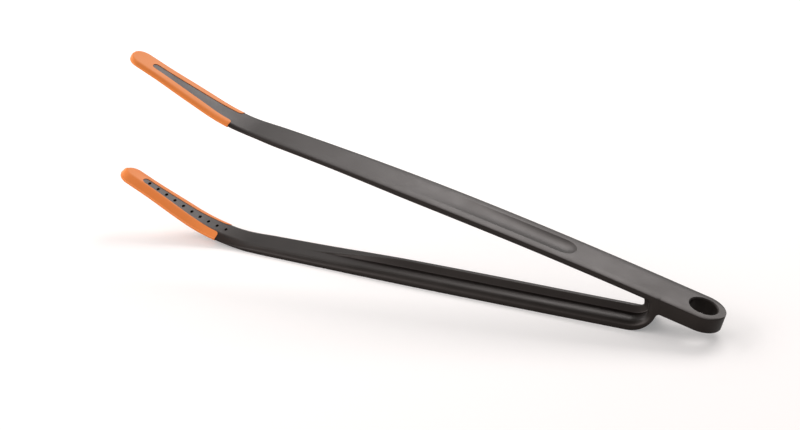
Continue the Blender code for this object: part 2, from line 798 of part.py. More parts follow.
def scoop_places():
    """Places round the crisp end of the thumb scoop and along it."""
    round_end = SCOOP_START + SCOOP_HALF_WIDTH
    turns = [math.radians(angle) for angle in (80.0, 64.0, 46.0, 26.0)]
    places = [SCOOP_START]
    places += [round_end - SCOOP_HALF_WIDTH * math.sin(turn) for turn in turns]
    deepest = SCOOP_START + SCOOP_LENGTH * SCOOP_DEEPEST_SHARE
    places += spread(round_end, deepest, 2)
    return places + spread(deepest, SCOOP_START + SCOOP_LENGTH, 9)


def make_upper_arm(material):
    """The upper arm with its thumb scoop, the stub of the bend and the tail."""
    places = tail_places() + stub_places()
    places += spread(BEND_TO_TAIL_END, SCOOP_START, 2)
    places += scoop_places()
    elbow_turn = UPPER_TIP_PITCH - ARM_END_PITCH
    elbow_start = UPPER.tip_root - UPPER_ELBOW_RADIUS * math.tan(elbow_turn / 2.0)
    places += spread(SCOOP_START + SCOOP_LENGTH, elbow_start, 9)
    places += spread(elbow_start, UPPER.tip_root, 4) + [UPPER.tip_root]
    rings = arm_rings(UPPER, places) + tip_rings(UPPER, UPPER.tip_root + SEAT_GAP)
    piece = add_piece("upper_arm", loft(rings), material)
    cut_with(piece, "hang_hole", hole_cutter())
    cut_with(piece, "upper_dimples", dimple_cutters(UPPER))
    return piece


def hang_on_axis(pieces):
    """Carry the moving pieces by an empty that stands on the flexing axis of the bend."""
    axis = bpy.data.objects.new("bend_axis", None)
    bpy.context.collection.objects.link(axis)
    heel_back = OVERALL_LENGTH / 2.0 - HEEL_TO_TAIL_END
    axis.location = (heel_back - AXIS_FROM_HEEL_BACK, 0.0, AXIS_HEIGHT)
    for piece in pieces:
        piece.parent = axis
        piece.location = -axis.location


def build():
    """Model the tongs."""
    clear_scene()
    upper_arm = make_upper_arm(finish("upper_arm_nylon", NYLON_COLOUR, NYLON_ROUGHNESS))
    make_spring_bend(finish("spring_nylon", NYLON_COLOUR, NYLON_ROUGHNESS))
    make_lower_arm(finish("lower_arm_nylon", NYLON_COLOUR, NYLON_ROUGHNESS))
    upper_finish = finish("upper_silicone", SILICONE_COLOUR, SILICONE_ROUGHNESS)
    upper_grip = silicone_grip("upper_tip_grip", UPPER, upper_finish)
    lower_finish = finish("lower_silicone", SILICONE_COLOUR, SILICONE_ROUGHNESS)
    silicone_grip("lower_tip_grip", LOWER, lower_finish)
    hang_on_axis((upper_arm, upper_grip))


build()
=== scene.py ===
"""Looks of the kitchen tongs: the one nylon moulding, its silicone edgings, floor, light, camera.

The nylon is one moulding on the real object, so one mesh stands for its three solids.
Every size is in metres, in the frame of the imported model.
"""

import math

import bmesh
import bpy
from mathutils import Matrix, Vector


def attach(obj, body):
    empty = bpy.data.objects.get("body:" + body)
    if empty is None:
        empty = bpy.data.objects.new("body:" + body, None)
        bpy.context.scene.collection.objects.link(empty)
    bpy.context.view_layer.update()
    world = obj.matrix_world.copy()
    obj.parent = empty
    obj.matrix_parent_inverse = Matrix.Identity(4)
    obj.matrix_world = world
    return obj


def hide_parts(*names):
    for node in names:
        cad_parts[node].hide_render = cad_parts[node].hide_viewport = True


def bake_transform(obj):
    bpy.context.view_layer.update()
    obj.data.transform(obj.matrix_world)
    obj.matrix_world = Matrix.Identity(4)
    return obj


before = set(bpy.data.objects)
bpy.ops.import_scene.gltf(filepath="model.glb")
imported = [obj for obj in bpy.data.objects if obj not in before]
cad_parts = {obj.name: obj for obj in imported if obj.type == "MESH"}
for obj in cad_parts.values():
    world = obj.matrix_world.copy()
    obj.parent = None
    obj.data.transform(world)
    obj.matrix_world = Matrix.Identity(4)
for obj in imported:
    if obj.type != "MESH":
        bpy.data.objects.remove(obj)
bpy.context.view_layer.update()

# Overall length, how far cutters and joined pieces run on, and the least gap or overlap
OVERALL_LENGTH = 0.300
OVERRUN = 0.002
SEAM = 0.00003

# Side view of the lower arm, which lies flat on its outer face
TIP_LENGTH = 0.0592
LOWER_TIP_PITCH = math.radians(25.2)
LOWER_ELBOW_RADIUS = 0.089

# Side view of the upper arm, walked from the end of the tail
TAIL_END_HEIGHT = 0.0108
TAIL_PITCH = math.radians(14.5)
TAIL_RUN = 0.0363
ARM_RUN = 0.1926
ARM_END_PITCH = math.radians(10.15)
UPPER_ELBOW_RADIUS = 0.0932
UPPER_TIP_PITCH = math.radians(25.3)

# Heel of the bend and the notch behind it
HEEL_RADIUS = 0.0135
HEEL_TO_TAIL_END = 0.0274
HEEL_WALL = 0.0052
BEND_POWER = 2.0
WEB_BEND_POWER = 2.0
BEND_WEB = 0.0034
BEND_TOP_HEIGHT = 0.0093
STUB_INSET = 0.0003
WALL_FILLET = 0.0024
NOTCH_FILLET = 0.0016

# Widths in plan, the same on both arms
TIP_WIDTH = 0.0131
TIP_MIDDLE_WIDTH = 0.0152
TIP_ROOT_WIDTH = 0.0167
ARM_WIDTH = 0.0209
BEND_WIDTH = 0.0206
TAIL_WIDTH = 0.0202
TIP_CORNER = 0.0060
TIP_TAPER_END = 0.014
MID_TIP_SHARE = 0.4
MID_ARM_SHARE = 0.5
BEND_TO_TAIL_END = 0.0538

# Section of the arms: a plate with round shoulders and a web on a low hump along its middle
PLATE = 0.0033
CROWN = 0.0004
FLAT_HALF_WIDTH = 0.0060
EDGE = 0.0012
EDGE_ROUND = 0.00030
SHOULDER = 0.0038
BEND_EDGE = 0.0020
BEND_SHOULDER = 0.0050
SHOULDER_GROWTH = 0.070
WEB_HEIGHT = 0.0041
HUMP = 0.0008
WEB_START = 0.044
WEB_RISE = 0.055
WEB_PROFILE = (
    (0.0, 1.0),
    (0.00040, 1.0),
    (0.00060, 0.965),
    (0.00072, 0.88),
    (0.00110, 0.14),
    (0.00125, 0.06),
    (0.00145, 0.015),
    (0.00170, 0.0),
)

# Section of the tail
TAIL_THICKNESS = 0.0077
TAIL_CORNER = 0.0013
TAIL_ROUND = TAIL_WIDTH / 2.0

# Section of the tips
LOWER_TIP_THICKNESS = 0.0034
UPPER_TIP_THICKNESS = 0.0024
TIP_CROWN = 0.0009
TIP_EDGE = 0.0015
TIP_SHOULDER = 0.0042
TIP_BULGE = 1.2
TIP_NOSE = 0.0016
TIP_NOSE_SHARE = 0.5
ELBOW_EASE = 0.025

# Nylon core strip of each tip, open in the middle of the silicone
CORE_ROOT_HALF_WIDTH = 0.0047
CORE_MIDDLE_HALF_WIDTH = 0.0034
CORE_END_HALF_WIDTH = 0.0020
SILICONE_END = 0.0113
CORE_LENGTH = TIP_LENGTH - SILICONE_END
CORE_ROOT_ROUND = 0.0022
LEG_END = 0.0020
SILICONE_PROUD = 0.00025
SILICONE_ROUND = 0.00035

# Thumb scoop in the outer face of the upper arm, placed from the end of the tail
SCOOP_START = 0.0702
SCOOP_LENGTH = 0.094
SCOOP_HALF_WIDTH = FLAT_HALF_WIDTH
SCOOP_DEPTH = 0.0011
SCOOP_DEEPEST_SHARE = 0.065
SCOOP_END_SHARE = 0.12

# Dimples in the inner faces of the tips, placed from the end of the tip and longer across it
DIMPLE_COUNT = 10
DIMPLE_PITCH = 0.00505
DIMPLE_RADIUS = 0.0006
DIMPLE_STRETCH = 2.0
DIMPLE_DEPTH = 0.0010
DIMPLE_FIRST = 0.0150
DIMPLE_PROFILE = ((0.45, 1.0), (0.85, 0.75), (1.0, 0.2))
DIMPLE_FLARE = 1.25
DIMPLE_OVERRUN = 0.0002

# Hang hole
HOLE_RADIUS = 0.0063
HOLE_CHAMFER = 0.0005

# Fineness of the meshes: counts, shares of a width and turns round a corner
HOLE_SIDES = 96
DIMPLE_SIDES = 20
SMOOTH_ANGLE = math.radians(32.0)
HALVINGS = 40
OUTER_SHARES = (0.0, 0.15, 0.3, 0.45, 0.6, 0.75, 0.88, 0.96, 1.0)
SIDE_SHARES = (0.15, 0.4, 0.7, 1.0)
ROUND_TURNS = tuple(math.radians(angle) for angle in (22.5, 45.0, 67.5, 90.0))
CORNER_TURNS = tuple(math.radians(angle) for angle in range(0, 90, 5))
TAIL_TURNS = tuple(
    math.radians(angle) for angle in (86, 80, 73, 66, 59, 52, 45, 38, 31, 24, 17, 10, 4)
)
SCOOP_TURNS = tuple(math.radians(angle) for angle in (83, 77, 70, 62, 54, 46, 38, 30, 22, 14, 7))
SLOPE_SHARES = (0.01, 0.04, 0.09, 0.16, 0.25, 0.37, 0.52, 0.7, 0.85, 1.0)
FLAT_SHARES = (0.25, 0.5, 0.75)
FILLET_STEPS = 12
NOTCH_STEPS = 12
HEEL_STEPS = 44
CORE_ROOT_STEPS = 14
CORE_SHARES = (0.0, 0.25, 0.5, 0.75, 0.9, 1.0)
NARROW_SHARE = 0.75
STATION_PITCH = 0.0018

# Camera at the photograph's angle, with its lens and sensor in millimetres
CAMERA_AZIMUTH = math.radians(23.97)
CAMERA_ELEVATION = math.radians(24.55)
CAMERA_DISTANCE = 0.800
CAMERA_TARGET = (-0.00238, 0.0, 0.02970)
CAMERA_LENS = 79.185
SENSOR_WIDTH = 36.0
CLIP_NEAR = 0.01
CLIP_FAR = 20.0

# Finishes: two colours that a faint mottle mixes, roughness range, grain and specular
NYLON_COLOURS = ((0.0105, 0.0080, 0.0066, 1.0), (0.0145, 0.0112, 0.0094, 1.0))
NYLON_ROUGHNESS = (0.39, 0.46)
NYLON_GRAIN = (0.35, 0.00004)
NYLON_SPECULAR = (0.42, (1.0, 0.86, 0.82, 1.0))
SILICONE_COLOURS = ((0.96, 0.256, 0.054, 1.0), (0.99, 0.280, 0.064, 1.0))
SILICONE_ROUGHNESS = (0.46, 0.56)
SILICONE_GRAIN = (0.25, 0.00003)
SILICONE_SPECULAR = (0.50, (1.0, 0.80, 0.50, 1.0))
MOTTLE_SCALE = 70.0
MOTTLE_DETAIL = 3.0
GRAIN_SCALE = 1400.0
GRAIN_DETAIL = 4.0
NOISE_ROUGHNESS = 0.55
MOTTLE_RANGE = (0.3, 0.7)

# Floor and surroundings
FLOOR_SIZE = 4.0
FLOOR_SEEN = (0.82, 0.775, 0.76, 1.0)
FLOOR_BOUNCE = (0.60, 0.585, 0.57, 1.0)
FLOOR_LIFT = 0.25
WORLD_LIGHT = 0.37
WORLD_SEEN = 1.0
WHITE = (1.0, 1.0, 1.0, 1.0)

# Softboxes: place, size and power
LIGHT_AIM = (0.0, 0.0, 0.02)
LEFT_LIGHT = ((-1.180, 0.250, 0.680), (1.3, 0.8), 9.0)
BACK_LIGHT = ((0.050, 1.109, 1.004), (0.80, 0.70), 10.5)
FRONT_LIGHT = ((-1.080, -0.900, 0.640), (1.2, 0.9), 11.5)

# Side of each spine that the nylon lies on, and the turn of the heel
UPWARD = 1.0
DOWNWARD = -1.0
HEEL_TURN = math.pi / 2.0


def clamp(value, low=0.0, high=1.0):
    """Keep a value between two limits."""
    return max(low, min(high, value))


def ease(share):
    """A smooth step from 0 to 1."""
    share = clamp(share)
    return share * share * (3.0 - 2.0 * share)


def mix(first, second, share):
    """The value that lies at a share of the way from first to second."""
    return first + (second - first) * share


def smooth_curve(knots, place):
    """A cubic through (place, value) knots, held level past both ends."""
    places = [knot[0] for knot in knots]
    values = [knot[1] for knot in knots]
    if place <= places[0]:
        return values[0]
    if place >= places[-1]:
        return values[-1]
    slopes = []
    for index in range(len(places)):
        before = max(index - 1, 0)
        after = min(index + 1, len(places) - 1)
        level = index == 0 or index == len(places) - 1
        rise = (values[after] - values[before]) / (places[after] - places[before])
        slopes.append(0.0 if level else rise)
    index = max(i for i in range(len(places)) if places[i] <= place)
    span = places[index + 1] - places[index]
    t = (place - places[index]) / span
    start = values[index] * (1.0 + 2.0 * t) * (1.0 - t) ** 2
    end = values[index + 1] * t * t * (3.0 - 2.0 * t)
    start_slope = slopes[index] * span * t * (1.0 - t) ** 2
    end_slope = slopes[index + 1] * span * t * t * (t - 1.0)
    return start + end + start_slope + end_slope


def concave_fillet(past, radius):
    """Height of a quarter-round fillet that starts at 0 and turns upright at its radius."""
    past = clamp(past, 0.0, radius)
    return radius - math.sqrt(radius * radius - past * past)


def spread(start, end, count):
    """Evenly spaced places from start up to, but not including, end."""
    return [mix(start, end, index / count) for index in range(count)]


def stations(start, end):
    """Places from start up to, but not including, end, about one station pitch apart."""
    return spread(start, end, max(1, round((end - start) / STATION_PITCH)))


class Spine:
    """The outer face in side view, as straight runs and arcs walked from one end."""

    def __init__(self, start, heading, inward, runs):
        self.inward = inward
        self.runs = []
        travelled = 0.0
        for length, turn in runs:
            self.runs.append((travelled, length, turn, start, heading))
            start = self.step(start, heading, turn, length, length)
            heading += turn
            travelled += length
        self.length = travelled

    def step(self, start, heading, turn, length, distance):
        """The point a distance along one run."""
        if abs(turn) * length == 0.0:
            return start + distance * Vector((math.cos(heading), math.sin(heading)))
        radius = length / turn
        angle = heading + turn * distance / length
        across = math.sin(angle) - math.sin(heading)
        along = math.cos(heading) - math.cos(angle)
        return start + radius * Vector((across, along))

    def at(self, distance):
        """The point, the heading and the inward normal at a distance from the start."""
        run = self.runs[0]
        for candidate in self.runs:
            if candidate[0] <= distance:
                run = candidate
        travelled, length, turn, start, heading = run
        ahead = distance - travelled
        angle = heading + turn * ahead / length
        point = self.step(start, heading, turn, length, ahead)
        normal = self.inward * Vector((math.sin(angle), -math.cos(angle)))
        return point, angle, normal

    def place(self, distance, across, depth):
        """A point in space, from its distance along, its place across and its depth inward."""
        point, _, normal = self.at(distance)
        return Vector((point.x + depth * normal.x, across, point.y + depth * normal.y))


def lower_spine():
    """From the top of the heel, down round it, along the floor and up the lower tip."""
    heel_centre_x = OVERALL_LENGTH / 2.0 - HEEL_TO_TAIL_END - HEEL_RADIUS
    start = Vector((heel_centre_x + HEEL_RADIUS, HEEL_RADIUS))
    elbow_tangent = LOWER_ELBOW_RADIUS * math.tan(LOWER_TIP_PITCH / 2.0)
    elbow_x = TIP_LENGTH * math.cos(LOWER_TIP_PITCH) - OVERALL_LENGTH / 2.0
    floor_run = heel_centre_x - elbow_x - elbow_tangent
    runs = (
        (HEEL_RADIUS * HEEL_TURN, -HEEL_TURN),
        (floor_run, 0.0),
        (LOWER_ELBOW_RADIUS * LOWER_TIP_PITCH, -LOWER_TIP_PITCH),
        (TIP_LENGTH - elbow_tangent, 0.0),
    )
    return Spine(start, math.pi + HEEL_TURN, UPWARD, runs)


def upper_spine():
    """From the end of the tail, along the upper arm and up its tip."""
    elbow_turn = UPPER_TIP_PITCH - ARM_END_PITCH
    elbow_tangent = UPPER_ELBOW_RADIUS * math.tan(elbow_turn / 2.0)
    start = Vector((OVERALL_LENGTH / 2.0, TAIL_END_HEIGHT))
    runs = (
        (TAIL_RUN, 0.0),
        (ARM_RUN, TAIL_PITCH - ARM_END_PITCH),
        (UPPER_ELBOW_RADIUS * elbow_turn, -elbow_turn),
        (TIP_LENGTH - elbow_tangent, 0.0),
    )
    return Spine(start, math.pi - TAIL_PITCH, DOWNWARD, runs)


def web_share(across):
    """Height of the web at a place across it, as a share of its full height."""
    for inner, outer in zip(WEB_PROFILE, WEB_PROFILE[1:]):
        if across <= outer[0]:
            return mix(inner[1], outer[1], (across - inner[0]) / (outer[0] - inner[0]))
    return 0.0


def corner_round(turn, radius):
    """Inset from the side and depth below the face, at a turn round a convex edge."""
    return radius * (1.0 - math.sin(turn)), radius * (1.0 - math.cos(turn))


class Arm:
    """Widths and depths of one arm; a place is a distance along its spine."""

    def __init__(self, spine, bend, crown, tip_thickness):
        self.spine = spine
        self.bend = bend
        self.crown = crown
        self.tip_thickness = tip_thickness
        self.end = spine.length
        self.tip_root = spine.length - TIP_LENGTH
        self.width_stations = (
            (0.0, TAIL_WIDTH / 2.0),
            (bend, BEND_WIDTH / 2.0),
            (mix(bend, self.tip_root, MID_ARM_SHARE), ARM_WIDTH / 2.0),
            (self.tip_root, TIP_ROOT_WIDTH / 2.0),
            (mix(self.tip_root, self.end, MID_TIP_SHARE), TIP_MIDDLE_WIDTH / 2.0),
            (self.end - TIP_TAPER_END, TIP_WIDTH / 2.0),
        )

    def half_width(self, place):
        """Half the width, with the round corners of the blunt tip."""
        half = smooth_curve(self.width_stations, place)
        past = clamp(place - self.end + TIP_CORNER, 0.0, TIP_CORNER)
        return half - concave_fillet(past, TIP_CORNER)

    def tip_share(self, place):
        """0 on the arm and 1 on the tip, eased along the elbow."""
        return ease((place - self.tip_root + ELBOW_EASE) / ELBOW_EASE)

    def plate(self, place):
        """Thickness of the plate."""
        return mix(PLATE, self.tip_thickness, self.tip_share(place))

    def edge(self, place):
        """Depth of the upright edge at the side of the plate."""
        near_bend = 1.0 - ease((place - self.bend) / SHOULDER_GROWTH)
        return mix(mix(EDGE, BEND_EDGE, near_bend), TIP_EDGE, self.tip_share(place))

    def shoulder(self, place):
        """Width of the slope between the edge and the inner face."""
        near_bend = 1.0 - ease((place - self.bend) / SHOULDER_GROWTH)
        arm = mix(SHOULDER, BEND_SHOULDER, near_bend)
        return mix(arm, TIP_SHOULDER, self.tip_share(place))

    def rise(self, place):
        """0 ahead of the web and 1 where it stands at its full height."""
        return ease((self.tip_root - WEB_START - place) / WEB_RISE)

    def slope_share(self, place, across):
        """0 on the flat of the inner face and 1 at the side, rounder on the arm than on the tip."""
        slope = self.shoulder(place)
        share = clamp((across - self.half_width(place) + slope) / slope)
        rounded = 1.0 - math.sqrt(1.0 - share * share)
        return mix(rounded, share ** TIP_BULGE, self.tip_share(place))

    def nose(self, place):
        """How far each face draws in to mid depth at the very end of the tip, as a share."""
        share = clamp((place - self.end + TIP_NOSE) / TIP_NOSE)
        return TIP_NOSE_SHARE * (1.0 - math.sqrt(1.0 - share * share))

    def guide(self, place):
        """Half-width of the strip in the middle that the columns of the outer face follow."""
        return min(FLAT_HALF_WIDTH, self.half_width(place) * NARROW_SHARE)

    def faces(self, place, across):
        """Depths of the crowned outer face and of the inner face with shoulder and web."""
        half = self.half_width(place)
        flat = min(FLAT_HALF_WIDTH, half * NARROW_SHARE)
        share = clamp((across - flat) / (half - flat))
        outer = mix(self.crown, TIP_CROWN, self.tip_share(place)) * share * share
        rise = self.rise(place)
        plate = self.plate(place) + HUMP * rise
        inner = mix(plate, self.edge(place), self.slope_share(place, across))
        return outer, inner + (WEB_HEIGHT - HUMP) * rise * web_share(across)

    def outer_depth(self, place, across):
        """Depth of the outer face below the spine."""
        outer, inner = self.faces(place, across)
        return mix(outer, (outer + inner) / 2.0, self.nose(place))

    def inner_depth(self, place, across):
        """Depth of the inner face below the spine."""
        outer, inner = self.faces(place, across)
        return mix(inner, (outer + inner) / 2.0, self.nose(place))

    def slope_column(self, place):
        """Width of the shoulder that the columns of the inner face follow."""
        return self.shoulder(place)

    def half_section(self, place):
        """Half of a cross section, from the middle of the outer face round to the inner."""
        half = self.half_width(place)
        rounding = min(EDGE_ROUND, half * (1.0 - NARROW_SHARE) / 2.0)
        guide = self.guide(place)
        outer = [guide * share for share in OUTER_SHARES]
        outer += [mix(guide, half - rounding, share) for share in SIDE_SHARES]
        points = [(across, self.outer_depth(place, across)) for across in outer]
        for turn in ROUND_TURNS:
            inset, drop = corner_round(turn, rounding)
            points.append((half - inset, self.outer_depth(place, half - inset) + drop))
        web = [min(across, half * NARROW_SHARE) for across, _ in reversed(WEB_PROFILE)]
        top = max(half - self.slope_column(place), web[0] + SEAM)
        inner = [half] + [mix(half, top, share) for share in SLOPE_SHARES]
        inner += [mix(top, web[0], share) for share in FLAT_SHARES] + web
        points += [(across, self.inner_depth(place, across)) for across in inner]
        return points


class LowerArm(Arm):
    """The lower arm with the heel of the bend, from the back of the heel to the tip."""

    def inner_depth(self, place, across):
        """Depth of the inner face, carried round the inside of the bend."""
        depth = super().inner_depth(place, across)
        turned = HEEL_TURN - place / HEEL_RADIUS
        if turned <= 0.0:
            return depth
        web = web_share(across)
        wall = mix(HEEL_WALL, BEND_EDGE, self.slope_share(place, across)) + BEND_WEB * web
        power = mix(BEND_POWER, WEB_BEND_POWER, web)
        return HEEL_RADIUS - bend_reach(turned, HEEL_RADIUS - wall, depth, power)


def bend_reach(turned, reach_back, floor, power):
    """Distance from the centre of the heel to the inside of the bend, at an angle turned up."""
    across = math.sin(turned)
    down = math.cos(turned)
    rise = BEND_TOP_HEIGHT - floor
    level = HEEL_RADIUS - BEND_TOP_HEIGHT
    near = 0.0
    far = HEEL_RADIUS
    for _ in range(HALVINGS):
        reach = (near + far) / 2.0
        below = max(reach * down - level, 0.0)
        outside = (reach * across / reach_back) ** power + (below / rise) ** power > 1.0
        near, far = (near, reach) if outside else (reach, far)
    return near


class UpperArm(Arm):
    """The upper arm with its thumb scoop, the tail and the stub of the bend under it."""

    def half_width(self, place):
        """Half the width, with the round end of the tail."""
        share = clamp(1.0 - place / TAIL_ROUND)
        return super().half_width(place) - TAIL_ROUND * (1.0 - math.sqrt(1.0 - share * share))

    def guide(self, place):
        """The strip in the middle, drawn in round the end of the thumb scoop."""
        along = place - SCOOP_START
        if along < 0.0 or along >= SCOOP_HALF_WIDTH:
            return super().guide(place)
        share = 1.0 - along / SCOOP_HALF_WIDTH
        return SCOOP_HALF_WIDTH * max(math.sqrt(1.0 - share * share), SCOOP_END_SHARE)

    def scoop(self, place, across):
        """Depth of the thumb scoop."""
        along = place - SCOOP_START
        if along <= 0.0 or along >= SCOOP_LENGTH:
            return 0.0
        share = across / self.guide(place)
        deepest = SCOOP_LENGTH * SCOOP_DEEPEST_SHARE
        rise = 1.0 - clamp(1.0 - along / deepest) ** 2
        fall = ease((SCOOP_LENGTH - along) / (SCOOP_LENGTH - deepest))
        return SCOOP_DEPTH * rise * fall * clamp(1.0 - share * share)

    def outer_depth(self, place, across):
        """Depth of the outer face with the scoop in it."""
        return super().outer_depth(place, across) + self.scoop(place, across)

    def stub_depth(self, place):
        """Depth at which the stub ends inside the wall of the bend."""
        point, angle, _ = self.spine.at(place)
        return (point.y - BEND_TOP_HEIGHT) / -math.cos(angle)

    def tail_depth(self, place, across):
        """Depth of the tail and of the stub, with the notch behind the heel filleted."""
        if place >= STUB_BACK:
            return self.stub_depth(place)
        past = clamp(place - NOTCH_END + NOTCH_FILLET, 0.0, NOTCH_FILLET)
        depth = TAIL_THICKNESS + concave_fillet(past, NOTCH_FILLET)
        corner = TAIL_CORNER * (1.0 - past / NOTCH_FILLET)
        share = clamp((across - self.half_width(place) + TAIL_CORNER) / TAIL_CORNER)
        return depth - corner * (1.0 - math.sqrt(1.0 - share * share))

    def front(self, across, depth):
        """Place where the upright front of the stub stands, at a place across and a depth."""
        share = self.slope_share(STUB_AHEAD, across)
        wall = mix(HEEL_WALL, BEND_EDGE, share) + BEND_WEB * web_share(across)
        back = HEEL_TO_TAIL_END + wall - depth * math.sin(TAIL_PITCH)
        return back / math.cos(TAIL_PITCH)

    def inner_depth(self, place, across):
        """Depth of the inner face: tail and back of the stub, or plate and web."""
        if place <= STUB_BACK:
            return self.tail_depth(place, across)
        return super().inner_depth(place, across)

    def stub_point(self, across, turn):
        """Place and depth on the fillet between the front of the stub and the plate."""
        ahead = super().inner_depth(STUB_AHEAD, across)
        upright = WALL_FILLET * (1.0 - math.sin(TAIL_PITCH))
        start = self.front(across, ahead + upright) + WALL_FILLET * math.cos(TAIL_PITCH)
        drop = WALL_FILLET * (1.0 - math.cos(turn))
        return start - WALL_FILLET * math.sin(turn), ahead + drop

    def stub_foot(self, across):
        """Place and depth where the front of the stub meets the bend, found in steps."""
        depth = self.stub_depth(HEEL_TO_TAIL_END + HEEL_WALL)
        for _ in range(HALVINGS):
            depth = self.stub_depth(self.front(across, depth))
        return self.front(across, depth), depth

    def slope_column(self, place):
        """The shoulder ahead of the stub and the round corner of the tail behind it."""
        ahead = place > STUB_BACK
        return self.shoulder(place) if ahead else TAIL_CORNER


def stub_ring(place, inner_point):
    """A ring of the upper arm at a place, whose inner points follow the front of the stub."""
    half = UPPER.half_section(STUB_AHEAD)
    outer = len(OUTER_SHARES) + len(SIDE_SHARES) + len(ROUND_TURNS)
    points = [(place, across, depth) for across, depth in half[:outer]]
    for across, _ in half[outer:]:
        along, depth = inner_point(across)
        points.append((along, across, depth))
    other = [(along, -across, depth) for along, across, depth in reversed(points[1:-1])]
    return [UPPER.spine.place(*point) for point in points + other]


def stub_rings():
    """Rings from the back of the stub over its upright front to the end of its fillet."""
    rings = [stub_ring(STUB_BACK + SEAM, UPPER.stub_foot)]
    side_end, _ = UPPER.stub_point(UPPER.half_width(STUB_AHEAD), 0.0)
    for index in range(FILLET_STEPS + 1):
        share = index / FILLET_STEPS
        turn = FILLET_TURN * (1.0 - share)
        place = mix(STUB_BACK + OVERRUN, side_end, share)
        rings.append(stub_ring(place, lambda across, turn=turn: UPPER.stub_point(across, turn)))
    return rings


def stub_place(from_tail_end):
    """Place along the upper spine of an upright that stands this far from the tail's end."""
    lean = TAIL_THICKNESS * math.sin(TAIL_PITCH)
    return (from_tail_end - lean) / math.cos(TAIL_PITCH)


def notch_end():
    """Place where the fillet under the tail meets the round of the heel."""
    back = HEEL_TO_TAIL_END + HEEL_RADIUS
    rise = HEEL_RADIUS - TAIL_END_HEIGHT
    along = back * math.cos(TAIL_PITCH) + rise * math.sin(TAIL_PITCH)
    depth = back * math.sin(TAIL_PITCH) - rise * math.cos(TAIL_PITCH)
    apart = HEEL_RADIUS + NOTCH_FILLET
    drop = TAIL_THICKNESS + NOTCH_FILLET - depth
    return along - HEEL_RADIUS / apart * math.sqrt(apart * apart - drop * drop)


STUB_RISE = HEEL_RADIUS - BEND_TOP_HEIGHT
STUB_SETBACK = HEEL_RADIUS - math.sqrt(HEEL_RADIUS ** 2 - STUB_RISE ** 2)
STUB_BACK = stub_place(HEEL_TO_TAIL_END + STUB_SETBACK + STUB_INSET)
STUB_AHEAD = stub_place(HEEL_TO_TAIL_END + HEEL_WALL + BEND_WEB) + WALL_FILLET
FILLET_TURN = math.pi / 2.0 - TAIL_PITCH
NOTCH_END = notch_end()
HEEL_ARC = HEEL_RADIUS * HEEL_TURN
CORE_STATIONS = (
    (0.0, CORE_ROOT_HALF_WIDTH),
    (CORE_LENGTH * MID_TIP_SHARE, CORE_MIDDLE_HALF_WIDTH),
    (CORE_LENGTH, CORE_END_HALF_WIDTH),
)
LOWER = LowerArm(lower_spine(), HEEL_ARC, 0.0, LOWER_TIP_THICKNESS)
UPPER = UpperArm(upper_spine(), BEND_TO_TAIL_END, CROWN, UPPER_TIP_THICKNESS)


def core_half_width(arm, place):
    """Half-width of the nylon strip left open in the middle of a tip."""
    along = place - arm.tip_root
    taper_end = CORE_LENGTH - CORE_END_HALF_WIDTH
    half = smooth_curve(CORE_STATIONS, along)
    if along < CORE_ROOT_ROUND:
        past = 1.0 - clamp(along / CORE_ROOT_ROUND)
        flare = 1.0 - math.sqrt(1.0 - past * past)
        return mix(half, arm.half_width(arm.tip_root) - LEG_END, flare)
    if along > taper_end:
        past = clamp((along - taper_end) / CORE_END_HALF_WIDTH)
        return half * math.sqrt(1.0 - past * past)
    return half


def mirrored_ring(arm, place, half):
    """A closed ring in space from the half section at a place along the arm."""
    other = [(-across, depth) for across, depth in reversed(half[1:-1])]
    return [arm.spine.place(place, across, depth) for across, depth in half + other]


def loft(rings):
    """A closed mesh through rings with the same number of points."""
    mesh = bmesh.new()
    loops = [[mesh.verts.new(point) for point in ring] for ring in rings]
    count = len(loops[0])
    for first, second in zip(loops, loops[1:]):
        for index in range(count):
            after = (index + 1) % count
            mesh.faces.new((first[index], first[after], second[after], second[index]))
    mesh.faces.new(loops[0])
    mesh.faces.new(loops[-1])
    bmesh.ops.recalc_face_normals(mesh, faces=mesh.faces)
    return mesh


def add_object(name, mesh):
    """Make an object of a mesh."""
    data = bpy.data.meshes.new(name)
    mesh.to_mesh(data)
    mesh.free()
    piece = bpy.data.objects.new(name, data)
    bpy.context.collection.objects.link(piece)
    return piece


def combine(piece, tool, operation):
    """Apply an exact boolean with a tool object, which is removed."""
    step = piece.modifiers.new(tool.name, "BOOLEAN")
    step.operation = operation
    step.solver = "EXACT"
    step.object = tool
    depsgraph = bpy.context.evaluated_depsgraph_get()
    result = bpy.data.meshes.new_from_object(piece.evaluated_get(depsgraph))
    piece.modifiers.clear()
    previous = piece.data
    piece.data = result
    bpy.data.meshes.remove(previous)
    bpy.data.objects.remove(tool, do_unlink=True)


def dress(piece, material):
    """Give a piece its material and shade it smooth, with its true edges kept sharp."""
    piece.data.materials.clear()
    piece.data.materials.append(material)
    piece.data.shade_smooth()
    piece.data.set_sharp_from_angle(angle=SMOOTH_ANGLE)


def circle(arm, place, radius, depth, sides, stretch=1.0):
    """A ring round the inward normal on the middle of an arm, stretched across the arm."""
    point, _, normal = arm.spine.at(place)
    along = Vector((-normal.y, 0.0, normal.x))
    centre = Vector((point.x + depth * normal.x, 0.0, point.y + depth * normal.y))
    across = Vector((0.0, stretch, 0.0))
    turns = [2.0 * math.pi * index / sides for index in range(sides)]
    return [centre + radius * (math.cos(a) * along + math.sin(a) * across) for a in turns]


